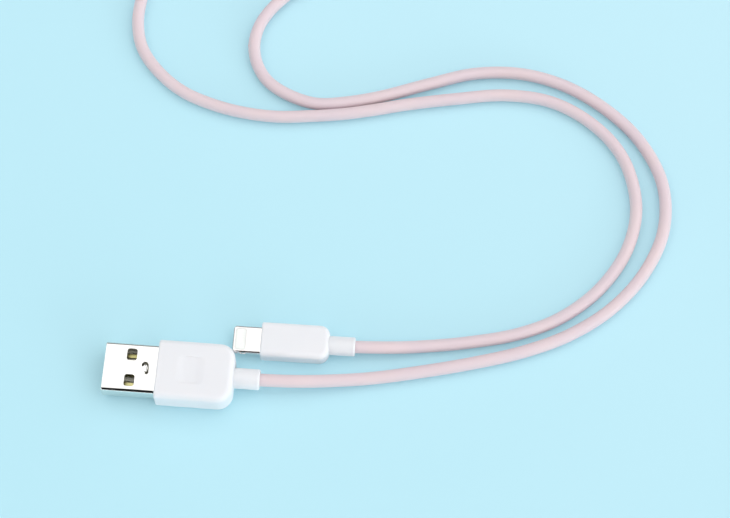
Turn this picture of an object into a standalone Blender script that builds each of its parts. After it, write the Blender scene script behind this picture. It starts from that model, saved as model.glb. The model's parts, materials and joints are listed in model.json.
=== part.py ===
"""Charging cable: a USB-A plug and a flat eight-contact phone plug on one soft cord.

Each plug is modelled in its own frame: X runs from the plug's tip to its cord, Y across it,
Z up, with the origin on the plug's axis at its tip. The cord lies on the ground, z = 0.
"""

from math import ceil, cos, pi, radians, sin

import bmesh
import bpy
from mathutils import Vector

MM = 0.001

# Clearances between neighbouring solids.
GAP = 0.3 * MM
FIT = 0.15 * MM

# USB plug: the standard's 12.0 x 4.5 mm steel shell sets its scale.
SHELL_WIDTH = 12.0 * MM
SHELL_HEIGHT = 4.5 * MM
SHELL_WALL = 0.3 * MM
SHELL_SHOWN = 12.5 * MM
SHELL_LENGTH = SHELL_SHOWN + 5.5 * MM
SHELL_CORNER = 0.9 * MM
WINDOW_CORNER = 0.5 * MM
WINDOW_LENGTH = 2.4 * MM
WINDOW_WIDTH = 2.8 * MM
WINDOW_X = 6.4 * MM
WINDOW_Y = 3.15 * MM
DIMPLE_LENGTH = 1.6 * MM
DIMPLE_WIDTH = 2.5 * MM
DIMPLE_X = 9.8 * MM
DIMPLE_CORNER = 0.75 * MM
DIMPLE_DEPTH = 0.15 * MM

TONGUE_TOP = 0.0 * MM
TONGUE_TIP = 0.8 * MM
TONGUE_BLOCK_FRONT = 9.6 * MM
TONGUE_NOSE = 0.35 * MM
USB_CONTACT_Y = (-3.5 * MM, -1.0 * MM, 1.0 * MM, 3.5 * MM)
USB_CONTACT_WIDTH = 1.0 * MM
USB_CONTACT_THICKNESS = 0.25 * MM

USB_BOOT_WIDTH = 14.4 * MM
USB_BOOT_HEIGHT = 7.2 * MM
USB_BOOT_LENGTH = 17.9 * MM
USB_BOOT_WALLS = (0.9 * MM, 1.3 * MM, 1.0 * MM)
USB_BOOT_CORNERS = (0.5 * MM, 3.6 * MM)
USB_BOOT_RIMS = (0.35 * MM, 1.4 * MM)
LABEL_LENGTH = 7.5 * MM
LABEL_WIDTH = 6.3 * MM
LABEL_CORNER = 0.9 * MM
LABEL_DEPTH = 0.15 * MM

# Phone plug: a flat steel tab 6.7 x 1.5 mm with eight contacts on each face.
TAB_WIDTH = 6.7 * MM
TAB_HEIGHT = 1.5 * MM
TAB_SHOWN = 6.65 * MM
TAB_LENGTH = TAB_SHOWN + 3.35 * MM
TAB_CORNERS = (0.95 * MM, 0.7 * MM)
TAB_RIM = 0.5 * MM
TAB_WINDOW_X = 0.6 * MM
TAB_WINDOW_LENGTH = 2.5 * MM
TAB_WINDOW_WIDTH = 5.3 * MM
TAB_WINDOW_CORNER = 0.35 * MM
NOTCH_X = 2.5 * MM
NOTCH_RADIUS = 0.8 * MM
NOTCH_DEPTH = 0.45 * MM
NOTCH_HALF_HEIGHT = 0.45 * MM
CONTACTS_PER_FACE = 8
PHONE_CONTACT_PITCH = 0.6 * MM
PHONE_CONTACT_WIDTH = 0.4 * MM
PHONE_CONTACT_LENGTH = 1.9 * MM
PHONE_CONTACT_THICKNESS = 0.2 * MM

PHONE_BOOT_WIDTH = 8.35 * MM
PHONE_BOOT_HEIGHT = 5.2 * MM
PHONE_BOOT_LENGTH = 16.05 * MM
PHONE_BOOT_WALLS = (0.85 * MM, 1.25 * MM, 0.8 * MM)
PHONE_BOOT_CORNERS = (0.4 * MM, 2.4 * MM)
PHONE_BOOT_RIMS = (0.3 * MM, 1.2 * MM)

# Both boots' rims are sharp at the tip end and grow to their full rounding over this length.
RIM_BLEND = 2.5 * MM
RIM_STEPS = 5

# Behind the tip ends of the boots the metal is this much thinner, so it slides in.
RELIEF = 0.1 * MM

BOARD_LENGTH = 5.0 * MM
BOARD_WIDTH = 5.5 * MM
BOARD_HEIGHT = 0.6 * MM
SHIELD_WALL = 0.2 * MM
SHIELD_HEIGHT = 1.35 * MM

# Strain relief collars and the cord.
COLLAR_LENGTH = 6.0 * MM
USB_COLLAR_RADIUS = 2.42 * MM
PHONE_COLLAR_RADIUS = 2.25 * MM
CORD_RADIUS = 1.5 * MM
CORD_SIDES_LEVEL = 2
CORD_POINT_SPACING = 7.5 * MM

# Where the two plugs lie: both rest on the ground, and the box around them is centred on the origin.
USB_PLUG_AT = Vector((-28.9, -3.5, USB_BOOT_HEIGHT / 2 / MM)) * MM
PHONE_PLUG_AT = Vector((0.15, 6.32, PHONE_BOOT_HEIGHT / 2 / MM)) * MM
PHONE_PLUG_TURN = radians(0.7)

# The spare length lies in one round coil of two layers, held by a strap.
COIL_CENTRE = Vector((3.2, 124.8, 0)) * MM
COIL_OUTER_TURN = 18.5 * MM
COIL_INNER_TURN = 11.7 * MM
STRAP_THICKNESS = 0.6 * MM
STRAP_WIDTH = 8.0 * MM
STRAP_ANGLE = radians(40)
COIL_BOTTOM = STRAP_THICKNESS + GAP
COIL_HEIGHT = 4 * CORD_RADIUS

# The cord's route outside the coil, in millimetres, from each plug to the coil's solid.
USB_ROUTE = [
    (7.8, -3.5, 3.6),
    (14.5, -3.2, 3.4),
    (22.5, -2.2, 2.5),
    (33.0, -0.45, 1.7),
    (44.5, 2.1, 1.55),
    (56.5, 5.2, 1.55),
    (68.0, 8.9, 1.55),
    (78.6, 13.9, 1.55),
    (88.0, 21.0, 1.55),
    (95.5, 30.5, 1.55),
    (100.0, 42.0, 1.55),
    (99.6, 54.0, 1.55),
    (94.4, 64.5, 1.55),
    (86.5, 72.4, 1.55),
    (76.0, 78.6, 1.55),
    (64.6, 81.5, 1.55),
    (52.8, 80.8, 1.55),
    (41.4, 77.0, 1.55),
    (30.0, 72.7, 1.55),
    (21.0, 70.3, 1.55),
    (14.0, 69.5, 1.55),
    (7.4, 71.2, 1.55),
    (2.0, 74.4, 1.55),
    (-1.2, 78.8, 1.55),
    (-2.6, 84.0, 1.55),
    (-2.0, 89.4, 1.55),
    (0.4, 94.4, 1.6),
    (4.2, 98.9, 2.0),
    (8.8, 103.6, 3.0),
]
PHONE_ROUTE = [
    (29.2, 6.7, 2.6),
    (36.0, 7.2, 2.3),
    (43.5, 8.2, 1.7),
    (54.5, 10.1, 1.55),
    (66.5, 13.2, 1.55),
    (76.8, 18.3, 1.55),
    (85.5, 26.3, 1.55),
    (91.5, 36.7, 1.55),
    (93.3, 48.2, 1.55),
    (90.0, 60.1, 1.55),
    (82.6, 68.7, 1.55),
    (72.1, 74.3, 1.55),
    (60.4, 75.4, 1.55),
    (48.0, 73.4, 1.55),
    (36.5, 71.0, 1.55),
    (28.5, 68.9, 1.55),
    (20.5, 67.1, 1.55),
    (13.0, 66.0, 1.55),
    (5.0, 65.2, 1.55),
    (-3.0, 65.6, 1.55),
    (-11.0, 67.2, 1.55),
    (-18.9, 70.2, 1.55),
    (-25.4, 75.1, 1.55),
    (-30.2, 81.3, 1.55),
    (-32.2, 88.6, 1.55),
    (-32.0, 96.3, 1.55),
    (-30.9, 104.0, 1.55),
    (-28.5, 112.0, 1.55),
    (-24.3, 120.5, 1.55),
    (-18.2, 129.9, 1.55),
]


def clear_scene():
    for thing in list(bpy.data.objects):
        bpy.data.objects.remove(thing, do_unlink=True)


def make_material(name, colour, roughness, metallic=0.0):
    material = bpy.data.materials.new(name)
    material.use_nodes = True
    shader = material.node_tree.nodes["Principled BSDF"]
    shader.inputs["Base Color"].default_value = (*colour, 1.0)
    shader.inputs["Roughness"].default_value = roughness
    shader.inputs["Metallic"].default_value = metallic
    material.diffuse_color = (*colour, 1.0)
    return material


def make_materials():
    return {
        "boot": make_material("boot_plastic", (0.86, 0.86, 0.88), 0.45),
        "cord": make_material("cord_jacket", (0.88, 0.70, 0.73), 0.5),
        "steel": make_material("bright_steel", (0.82, 0.81, 0.79), 0.2, 1.0),
        "tab": make_material("tab_steel", (0.85, 0.84, 0.82), 0.25, 1.0),
        "gold": make_material("contact_gold", (0.83, 0.62, 0.25), 0.25, 1.0),
        "silver": make_material("contact_silver", (0.84, 0.86, 0.84), 0.35, 1.0),
        "tongue": make_material("insulator_plastic", (0.80, 0.79, 0.76), 0.5),
        "board": make_material("circuit_board", (0.05, 0.22, 0.12), 0.5),
        "chip": make_material("chip_black", (0.03, 0.03, 0.03), 0.4),
        "strap": make_material("strap_weave", (0.80, 0.80, 0.82), 0.8),
        "wire_red": make_material("wire_red", (0.65, 0.04, 0.03), 0.45),
        "wire_white": make_material("wire_white", (0.85, 0.85, 0.85), 0.45),
        "wire_green": make_material("wire_green", (0.04, 0.42, 0.09), 0.45),
        "wire_black": make_material("wire_black", (0.03, 0.03, 0.03), 0.45),
    }


# ---------------------------------------------------------------- outlines


def arc(centre_x, centre_y, radius, start, end, steps):
    """Points on a circle from the start angle to the end angle, both in degrees."""
    angles = [radians(start + (end - start) * i / steps) for i in range(steps + 1)]
    return [(centre_x + radius * cos(a), centre_y + radius * sin(a)) for a in angles]


def rounded_rectangle(width, height, corner, steps=3, centre=(0.0, 0.0)):
    """An anticlockwise outline around the centre."""
    far_x = width / 2 - corner
    far_y = height / 2 - corner
    points = []
    for sign_x, sign_y, start in ((1, 1, 0), (-1, 1, 90), (-1, -1, 180), (1, -1, 270)):
        middle = (centre[0] + sign_x * far_x, centre[1] + sign_y * far_y)
        points += arc(*middle, corner, start, start + 90, steps)
    return points


def plug_outline(front, length, width, corners, side_places=()):
    """A piece of a plug seen from above, anticlockwise, as (x, y, outward x, outward y).

    corners are its corner radii at the tip end and at the cord end; side_places are extra points
    along each long side, from the cord end to the tip end."""
    front_corner, rear_corner = corners
    side = width / 2
    half = turn_points(front + length - rear_corner, side - rear_corner, rear_corner, 0, 8)
    half += [(x, side, 0.0, 1.0) for x in side_places]
    half += turn_points(front + front_corner, side - front_corner, front_corner, 90, 4)
    return half + [(x, -y, out_x, -out_y) for x, y, out_x, out_y in reversed(half)]


def turn_points(centre_x, centre_y, radius, start, steps):
    """A quarter turn from the start angle in degrees, with the outward direction at each point."""
    points = []
    for step in range(steps + 1):
        angle = radians(start + 90 * step / steps)
        out_x, out_y = cos(angle), sin(angle)
        points.append((centre_x + radius * out_x, centre_y + radius * out_y, out_x, out_y))
    return points


# ---------------------------------------------------------------- solids


def add_object(name, mesh, material=None, parent=None):
    thing = bpy.data.objects.new(name, mesh)
    bpy.context.scene.collection.objects.link(thing)
    thing.parent = parent
    if material:
        mesh.materials.append(material)
    return thing


def finish_mesh(name, shape, material, parent, smooth):
    bmesh.ops.recalc_face_normals(shape, faces=shape.faces)
    mesh = bpy.data.meshes.new(name)
    shape.to_mesh(mesh)
    shape.free()
    if smooth:
        mesh.shade_smooth()
        mesh.set_sharp_from_angle(angle=radians(35))
    return add_object(name, mesh, material, parent)


def prism(name, outline, start, end, material=None, parent=None, along="z", smooth=False):
    """The outline pulled from start to end, along z from (x, y) or along x from (y, z)."""
    shape = bmesh.new()
    rings = []
    for level in (start, end):
        places = [(a, b, level) if along == "z" else (level, a, b) for a, b in outline]
        rings.append([shape.verts.new(place) for place in places])
    shape.faces.new(rings[0])
    shape.faces.new(rings[1])
    bmesh.ops.bridge_loops(shape, edges=[e for e in shape.edges if len(e.link_faces) == 1])
    return finish_mesh(name, shape, material, parent, smooth)


def block(name, low, high, material=None, parent=None):
    """A box between two corners."""
    outline = [(low[0], low[1]), (high[0], low[1]), (high[0], high[1]), (low[0], high[1])]
    return prism(name, outline, low[2], high[2], material, parent)


def turned(name, profile, material, parent, sides=24, centre=(0.0, 0.0), upright=False):
    """The closed profile of (distance along the axis, radius) turned into a ring.

    The axis is the plug's X, or an upright line through the centre."""
    shape = bmesh.new()
    rings = []
    for step in range(sides):
        angle = 2 * pi * step / sides
        across, up = cos(angle), sin(angle)
        if upright:
            places = [(centre[0] + r * across, centre[1] + r * up, a) for a, r in profile]
        else:
            places = [(a, r * across, r * up) for a, r in profile]
        rings.append([shape.verts.new(place) for place in places])
    count = len(profile)
    for ring, after in zip(rings, rings[1:] + rings[:1]):
        for i in range(count):
            j = (i + 1) % count
            shape.faces.new((ring[i], ring[j], after[j], after[i]))
    return finish_mesh(name, shape, material, parent, smooth=True)


def rounded_plate(name, outline, height, rim_at, material, parent):
    """A plate with that outline, its top and bottom rims rounded by the radius rim_at(x)."""
    shape = bmesh.new()
    rings = []
    for sign in (-1, 1):
        for step in range(RIM_STEPS + 1)[::sign]:
            angle = radians(90 * step / RIM_STEPS)
            ring = []
            for x, y, out_x, out_y in outline:
                rim = rim_at(x)
                inset = rim * (1 - cos(angle))
                level = sign * (height / 2 - rim * (1 - sin(angle)))
                ring.append(shape.verts.new((x - out_x * inset, y - out_y * inset, level)))
            rings.append(ring)
    for ring, after in zip(rings, rings[1:]):
        for i in range(len(ring)):
            j = (i + 1) % len(ring)
            shape.faces.new((ring[i], ring[j], after[j], after[i]))
    shape.faces.new(rings[0])
    shape.faces.new(rings[-1])
    return finish_mesh(name, shape, material, parent, smooth=True)


def cut(thing, cutter):
    """Cuts the hidden cutter's shape out of the thing."""
    cutter.hide_render = True
    cutter.display_type = "WIRE"
    boolean = thing.modifiers.new("cut " + cutter.name, "BOOLEAN")
    boolean.operation = "DIFFERENCE"
    boolean.solver = "EXACT"
    boolean.object = cutter


def smooth_path(route, spacing):
    """Evenly spaced points on a smooth curve through the route's points."""
    spots = [Vector(spot) for spot in route]
    spots = [2 * spots[0] - spots[1]] + spots + [2 * spots[-1] - spots[-2]]
    fine = []
    for before, a, b, after in zip(spots, spots[1:], spots[2:], spots[3:]):
        for step in range(20):
            t = step / 20
            bend = 2 * before - 5 * a + 4 * b - after
            twist = 3 * a - before - 3 * b + after
            fine.append(a + 0.5 * ((b - before) * t + bend * t**2 + twist * t**3))
    fine.append(spots[-2])
    lengths = [0.0]
    for a, b in zip(fine, fine[1:]):
        lengths.append(lengths[-1] + (b - a).length)
    count = ceil(lengths[-1] / spacing)
    path = []
    place = 0
    for step in range(count + 1):
        wanted = lengths[-1] * step / count
        while place < len(fine) - 2 and lengths[place + 1] < wanted:
            place += 1
        share = (wanted - lengths[place]) / (lengths[place + 1] - lengths[place])
        path.append(fine[place].lerp(fine[place + 1], share))
    return path


def tube(name, path, radius, level, material, parent=None):
    """A round tube with closed ends along the path."""
    curve = bpy.data.curves.new(name, "CURVE")
    curve.dimensions = "3D"
    curve.bevel_depth = radius
    curve.bevel_resolution = level
    curve.use_fill_caps = True
    line = curve.splines.new("POLY")
    line.points.add(len(path) - 1)
    for point, place in zip(line.points, path):
        point.co = (*place, 1.0)
    return add_object(name, curve, material, parent)


# ---------------------------------------------------------------- shared by both plugs


def make_boot(name, front, size, walls, corners, rims, material, plug):
    """A hollow moulded boot.

    size is its length, width and height; walls are its side, end and top walls; corners and rims
    are the radii seen from above and along the top and bottom, each at the tip end and further on."""
    length, width, height = size
    side_wall, end_wall, top_wall = walls
    front_rim, side_rim = rims
    blend_start = front + corners[0]

    def rim_at(x):
        share = min(1.0, max(0.0, (x - blend_start) / RIM_BLEND))
        return front_rim + (side_rim - front_rim) * share**2 * (3 - 2 * share)

    side_places = [blend_start + RIM_BLEND * share for share in (1.0, 0.75, 0.5, 0.25)]
    outline = plug_outline(front, length, width, corners, side_places)
    boot = rounded_plate(name, outline, height, rim_at, material, plug)
    inner_width = width - 2 * side_wall
    cavity_height = height - 2 * top_wall
    cavity = block(
        name + "_cavity",
        (front + end_wall, -inner_width / 2, -cavity_height / 2),
        (front + length - end_wall, inner_width / 2, cavity_height / 2),
        parent=plug,
    )
    cut(boot, cavity)
    return boot


def cut_relief(thing, name, start, length, width, face, plug):
    """Thins a plug's metal by the relief on its top and bottom faces, from start on."""
    for side, sign in (("top", 1), ("bottom", -1)):
        levels = sorted((sign * (face - RELIEF), sign * (face + MM)))
        low = (start, -width / 2, levels[0])
        high = (start + length, width / 2, levels[1])
        cut(thing, block("%s_relief_%s" % (name, side), low, high, parent=plug))


def make_collar(name, rear, end_wall, radii, flange, material, plug):
    """A strain relief: collar outside, neck through the boot's end wall, flange inside it."""
    collar, neck, bore = radii
    outside = rear + FIT
    inside = rear - end_wall - FIT
    edge = 0.35 * MM
    profile = [
        (inside - 0.9 * MM, bore),
        (inside - 0.9 * MM, flange),
        (inside, flange),
        (inside, neck),
        (outside, neck),
        (outside, collar),
        (rear + COLLAR_LENGTH - edge, collar),
        (rear + COLLAR_LENGTH - 0.3 * edge, collar - 0.3 * edge),
        (rear + COLLAR_LENGTH, collar - edge),
        (rear + COLLAR_LENGTH, bore),
    ]
    return turned(name, profile, material, plug)


def make_wires(prefix, starts, gather, rear, bundle, radius, materials, plug):
    """Four insulated wires that gather into a bundle and run on through the strain relief."""
    colours = ("red", "white", "green", "black")
    ends = ((-bundle, bundle), (-bundle, -bundle), (bundle, -bundle), (bundle, bundle))
    for colour, start, (across, up) in zip(colours, starts, ends):
        front = start[0]
        halfway = (0.5 * (front + gather), 0.5 * (start[1] + across), 0.5 * (start[2] + up))
        beyond = 0.5 * (gather + rear)
        route = [start, halfway, (gather, across, up), (beyond, across, up), (rear, across, up)]
        path = smooth_path(route, (rear - front) / 12)
        tube(prefix + "_wire_" + colour, path, radius, 1, materials["wire_" + colour], plug)


def make_crimp(name, front, length, inner, outer, material, plug):
    """The crimped ring that grips the wires just inside the strain relief."""
    profile = [(front, inner), (front, outer), (front + length, outer), (front + length, inner)]
    return turned(name, profile, material, plug, sides=20)


# ---------------------------------------------------------------- USB plug


def make_usb_shell(materials, plug):
    outline = rounded_rectangle(SHELL_WIDTH, SHELL_HEIGHT, SHELL_CORNER, steps=4)
    shell = prism("usb_shell", outline, 0.0, SHELL_LENGTH, materials["steel"], plug, "x", True)
    inner_width = SHELL_WIDTH - 2 * SHELL_WALL
    inner_height = SHELL_HEIGHT - 2 * SHELL_WALL
    inside = rounded_rectangle(inner_width, inner_height, SHELL_CORNER - SHELL_WALL, steps=4)
    hollow = prism("usb_shell_hollow", inside, -MM, SHELL_LENGTH + MM, parent=plug, along="x")
    cut(shell, hollow)
    for name, side in (("usb_window_near", -1), ("usb_window_far", 1)):
        centre = (WINDOW_X, side * WINDOW_Y)
        window = rounded_rectangle(WINDOW_LENGTH, WINDOW_WIDTH, WINDOW_CORNER, centre=centre)
        cut(shell, prism(name, window, -SHELL_HEIGHT, SHELL_HEIGHT, parent=plug))
    dimple = rounded_rectangle(DIMPLE_LENGTH, DIMPLE_WIDTH, DIMPLE_CORNER, steps=5, centre=(DIMPLE_X, 0.0))
    top = SHELL_HEIGHT / 2
    cut(shell, prism("usb_dimple", dimple, top - DIMPLE_DEPTH, top + MM, parent=plug))
    cut_relief(shell, "usb_shell", SHELL_SHOWN - 0.05 * MM, SHELL_LENGTH, 2 * SHELL_WIDTH, top, plug)


def make_usb_tongue(materials, plug):
    """The insulator: a thin tongue under the contacts and a thick block behind them."""
    low = -SHELL_HEIGHT / 2 + SHELL_WALL + FIT
    half = SHELL_WIDTH / 2 - SHELL_WALL - 2 * FIT
    block_rear = SHELL_LENGTH - 0.4 * MM
    shape = bmesh.new()
    side_view = [
        (TONGUE_TIP, low),
        (block_rear, low),
        (block_rear, -low),
        (TONGUE_BLOCK_FRONT, -low),
        (TONGUE_BLOCK_FRONT, TONGUE_TOP),
        (TONGUE_TIP + TONGUE_NOSE, TONGUE_TOP),
        (TONGUE_TIP, TONGUE_TOP - TONGUE_NOSE),
    ]
    sides = [[shape.verts.new((x, y, z)) for x, z in side_view] for y in (-half, half)]
    shape.faces.new(sides[0])
    shape.faces.new(sides[1])
    bmesh.ops.bridge_loops(shape, edges=[e for e in shape.edges if len(e.link_faces) == 1])
    tongue = finish_mesh("usb_tongue", shape, materials["tongue"], plug, smooth=False)
    room = USB_CONTACT_WIDTH / 2 + 0.1 * MM
    bottom = TONGUE_TOP - USB_CONTACT_THICKNESS
    for number, y in enumerate(USB_CONTACT_Y, start=1):
        low_corner = (TONGUE_TIP + 0.6 * MM, y - room, bottom - 0.1 * MM)
        high_corner = (SHELL_LENGTH + MM, y + room, TONGUE_TOP + 0.2 * MM)
        cut(tongue, block("usb_contact_slot_%d" % number, low_corner, high_corner, parent=plug))


def make_usb_contacts(materials, plug):
    for number, y in enumerate(USB_CONTACT_Y, start=1):
        half = USB_CONTACT_WIDTH / 2
        low = (TONGUE_TIP + 0.8 * MM, y - half, TONGUE_TOP - USB_CONTACT_THICKNESS)
        high = (SHELL_LENGTH + 1.6 * MM, y + half, TONGUE_TOP + 0.05 * MM)
        block("usb_contact_%d" % number, low, high, materials["gold"], plug)


def make_usb_inner_cover(materials, plug, front, rear):
    """The white tube of plastic around the soldered joints, open at both ends."""
    outside = rounded_rectangle(11.8 * MM, 4.9 * MM, 0.8 * MM)
    inside = rounded_rectangle(10.4 * MM, 3.5 * MM, 0.5 * MM)
    cover = prism("usb_inner_cover", outside, front, rear, materials["tongue"], plug, "x")
    cut(cover, prism("usb_inner_cover_hollow", inside, front - MM, rear + MM, parent=plug, along="x"))


def make_usb_boot(materials, plug):
    size = (USB_BOOT_LENGTH, USB_BOOT_WIDTH, USB_BOOT_HEIGHT)
    shape = (size, USB_BOOT_WALLS, USB_BOOT_CORNERS, USB_BOOT_RIMS)
    boot = make_boot("usb_boot", SHELL_SHOWN, *shape, materials["boot"], plug)
    mouth = rounded_rectangle(SHELL_WIDTH + 2 * FIT, SHELL_HEIGHT + 2 * FIT, SHELL_CORNER)
    middle = SHELL_SHOWN + USB_BOOT_LENGTH / 2
    cut(boot, prism("usb_boot_mouth", mouth, SHELL_SHOWN - MM, middle, parent=plug, along="x"))
    hole = arc(0, 0, 2.1 * MM, 0, 345, 23)
    rear = SHELL_SHOWN + USB_BOOT_LENGTH
    cut(boot, prism("usb_boot_hole", hole, middle, rear + MM, parent=plug, along="x"))
    centre = (SHELL_SHOWN + 0.44 * USB_BOOT_LENGTH, 0.0)
    label = rounded_rectangle(LABEL_LENGTH, LABEL_WIDTH, LABEL_CORNER, centre=centre)
    top = USB_BOOT_HEIGHT / 2
    cut(boot, prism("usb_boot_label", label, top - LABEL_DEPTH, top + MM, parent=plug))


def make_usb_plug(materials):
    plug = bpy.data.objects.new("usb_plug", None)
    bpy.context.scene.collection.objects.link(plug)
    plug.location = USB_PLUG_AT
    rear = SHELL_SHOWN + USB_BOOT_LENGTH
    make_usb_shell(materials, plug)
    make_usb_tongue(materials, plug)
    make_usb_contacts(materials, plug)
    make_usb_inner_cover(materials, plug, SHELL_LENGTH + GAP, rear - 4.6 * MM)
    make_usb_boot(materials, plug)
    radii = (USB_COLLAR_RADIUS, 1.95 * MM, 1.4 * MM)
    make_collar("usb_strain_relief", rear, USB_BOOT_WALLS[1], radii, 2.5 * MM, materials["boot"], plug)
    make_crimp("usb_cable_crimp", rear - 4.3 * MM, 1.6 * MM, 1.4 * MM, 1.75 * MM, materials["steel"], plug)
    start_x = SHELL_LENGTH + 1.6 * MM + GAP
    starts = [(start_x, y, TONGUE_TOP) for y in USB_CONTACT_Y]
    end = rear + COLLAR_LENGTH - 0.4 * MM
    make_wires("usb", starts, rear - 4.6 * MM, end, 0.48 * MM, 0.4 * MM, materials, plug)


# ---------------------------------------------------------------- phone plug


def make_tab_frame(materials, plug):
    """The steel frame of the tab: a through window for the contacts and a notch in each edge."""
    outline = plug_outline(0.0, TAB_LENGTH, TAB_WIDTH, TAB_CORNERS)
    frame = rounded_plate("phone_tab_frame", outline, TAB_HEIGHT, lambda x: TAB_RIM, materials["tab"], plug)
    middle = (TAB_WINDOW_X + TAB_WINDOW_LENGTH / 2, 0.0)
    window = rounded_rectangle(TAB_WINDOW_LENGTH, TAB_WINDOW_WIDTH, TAB_WINDOW_CORNER, centre=middle)
    cut(frame, prism("phone_tab_window", window, -TAB_HEIGHT, TAB_HEIGHT, parent=plug))
    for name, side in (("phone_notch_near", -1), ("phone_notch_far", 1)):
        edge = side * (TAB_WIDTH / 2 + NOTCH_RADIUS - NOTCH_DEPTH)
        notch = arc(NOTCH_X, edge, NOTCH_RADIUS, 0, 345, 23)
        cut(frame, prism(name, notch, -NOTCH_HALF_HEIGHT, NOTCH_HALF_HEIGHT, parent=plug))
    start = TAB_SHOWN - 0.05 * MM
    cut_relief(frame, "phone_tab", start, TAB_LENGTH, 2 * TAB_WIDTH, TAB_HEIGHT / 2, plug)


def make_contact_carrier(materials, plug):
    """The plastic that fills the tab's window and holds the contacts on both faces."""
    middle = TAB_WINDOW_X + TAB_WINDOW_LENGTH / 2
    outline = rounded_rectangle(
        TAB_WINDOW_LENGTH - 0.2 * MM, TAB_WINDOW_WIDTH - 0.2 * MM, 0.3 * MM, centre=(middle, 0.0)
    )
    face = TAB_HEIGHT / 2 - 0.05 * MM
    carrier = prism("phone_contact_carrier", outline, -face, face, materials["tongue"], plug)
    half_length = PHONE_CONTACT_LENGTH / 2
    half_width = PHONE_CONTACT_WIDTH / 2
    depth = PHONE_CONTACT_THICKNESS
    for face_name, sign in (("top", 1), ("bottom", -1)):
        for number in range(CONTACTS_PER_FACE):
            y = (number - (CONTACTS_PER_FACE - 1) / 2) * PHONE_CONTACT_PITCH
            room = 0.05 * MM
            levels = sorted((sign * (face - depth - room), sign * (face + MM)))
            low = (middle - half_length - room, y - half_width - room, levels[0])
            high = (middle + half_length + room, y + half_width + room, levels[1])
            label = "%s_%d" % (face_name, number + 1)
            cut(carrier, block("phone_contact_slot_" + label, low, high, parent=plug))
            levels = sorted((sign * (face - depth), sign * face))
            low = (middle - half_length, y - half_width, levels[0])
            high = (middle + half_length, y + half_width, levels[1])
            block("phone_contact_" + label, low, high, materials["silver"], plug)


def make_board(materials, plug):
    """The circuit board behind the tab, with its chips on both faces."""
    front = TAB_LENGTH + GAP
    half = BOARD_WIDTH / 2
    face = BOARD_HEIGHT / 2
    block(
        "phone_circuit_board",
        (front, -half, -face),
        (front + BOARD_LENGTH, half, face),
        materials["board"],
        plug,
    )
    pieces = (
        ("phone_main_chip", 1.8, 0.9, 2.6, 2.2, 0.6, 1),
        ("phone_power_chip", 3.6, -1.4, 1.7, 1.5, 0.5, 1),
        ("phone_capacitor", 1.6, -0.9, 1.6, 0.8, 0.6, -1),
        ("phone_diode", 3.4, 0.8, 1.3, 0.9, 0.5, -1),
    )
    for name, x, y, length, width, height, sign in pieces:
        levels = sorted((sign * (face + FIT), sign * (face + FIT + height * MM)))
        low = (front + (x - length / 2) * MM, (y - width / 2) * MM, levels[0])
        high = (front + (x + length / 2) * MM, (y + width / 2) * MM, levels[1])
        block(name, low, high, materials["chip"], plug)


def make_shield(materials, plug):
    """Two folded steel trays that close over the board from above and below."""
    front = TAB_LENGTH + GAP
    rear = front + BOARD_LENGTH + 0.9 * MM
    half = PHONE_BOOT_WIDTH / 2 - PHONE_BOOT_WALLS[0] - FIT
    inner = half - SHIELD_WALL
    for name, sign in (("phone_shield_top", 1), ("phone_shield_bottom", -1)):
        levels = sorted((sign * FIT / 2, sign * SHIELD_HEIGHT))
        shield = block(name, (front, -half, levels[0]), (rear, half, levels[1]), materials["steel"], plug)
        levels = sorted((0.0, sign * (SHIELD_HEIGHT - SHIELD_WALL)))
        low = (front - MM, -inner, levels[0])
        high = (rear + MM, inner, levels[1])
        cut(shield, block(name + "_hollow", low, high, parent=plug))


def make_phone_boot(materials, plug):
    size = (PHONE_BOOT_LENGTH, PHONE_BOOT_WIDTH, PHONE_BOOT_HEIGHT)
    shape = (size, PHONE_BOOT_WALLS, PHONE_BOOT_CORNERS, PHONE_BOOT_RIMS)
    boot = make_boot("phone_boot", TAB_SHOWN, *shape, materials["boot"], plug)
    mouth = rounded_rectangle(TAB_WIDTH - 0.1 * MM + 2 * FIT, TAB_HEIGHT + 2 * FIT, 0.3 * MM)
    middle = TAB_SHOWN + PHONE_BOOT_LENGTH / 2
    cut(boot, prism("phone_boot_mouth", mouth, TAB_SHOWN - MM, middle, parent=plug, along="x"))
    hole = arc(0, 0, 1.55 * MM, 0, 345, 23)
    rear = TAB_SHOWN + PHONE_BOOT_LENGTH
    cut(boot, prism("phone_boot_hole", hole, middle, rear + MM, parent=plug, along="x"))


def make_phone_plug(materials):
    plug = bpy.data.objects.new("phone_plug", None)
    bpy.context.scene.collection.objects.link(plug)
    plug.location = PHONE_PLUG_AT
    plug.rotation_euler = (0.0, 0.0, PHONE_PLUG_TURN)
    rear = TAB_SHOWN + PHONE_BOOT_LENGTH
    make_tab_frame(materials, plug)
    make_contact_carrier(materials, plug)
    make_board(materials, plug)
    make_shield(materials, plug)
    make_phone_boot(materials, plug)
    radii = (PHONE_COLLAR_RADIUS, 1.4 * MM, 1.05 * MM)
    make_collar("phone_strain_relief", rear, PHONE_BOOT_WALLS[1], radii, 1.6 * MM, materials["boot"], plug)
    make_crimp("phone_cable_crimp", rear - 3.6 * MM, 1.0 * MM, 1.05 * MM, 1.35 * MM, materials["steel"], plug)
    start_x = TAB_LENGTH + BOARD_LENGTH + 2 * GAP
    starts = [(start_x, y * MM, 0.0) for y in (-2.1, -0.7, 0.7, 2.1)]
    end = rear + COLLAR_LENGTH - 0.4 * MM
    make_wires("phone", starts, rear - 3.9 * MM, end, 0.40 * MM, 0.33 * MM, materials, plug)


# ---------------------------------------------------------------- cord


def make_cord(materials):
    for name, route in (("cord_usb_side", USB_ROUTE), ("cord_phone_side", PHONE_ROUTE)):
        path = smooth_path([Vector(spot) * MM for spot in route], CORD_POINT_SPACING)
        tube(name, path, CORD_RADIUS, CORD_SIDES_LEVEL, materials["cord"])


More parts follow.
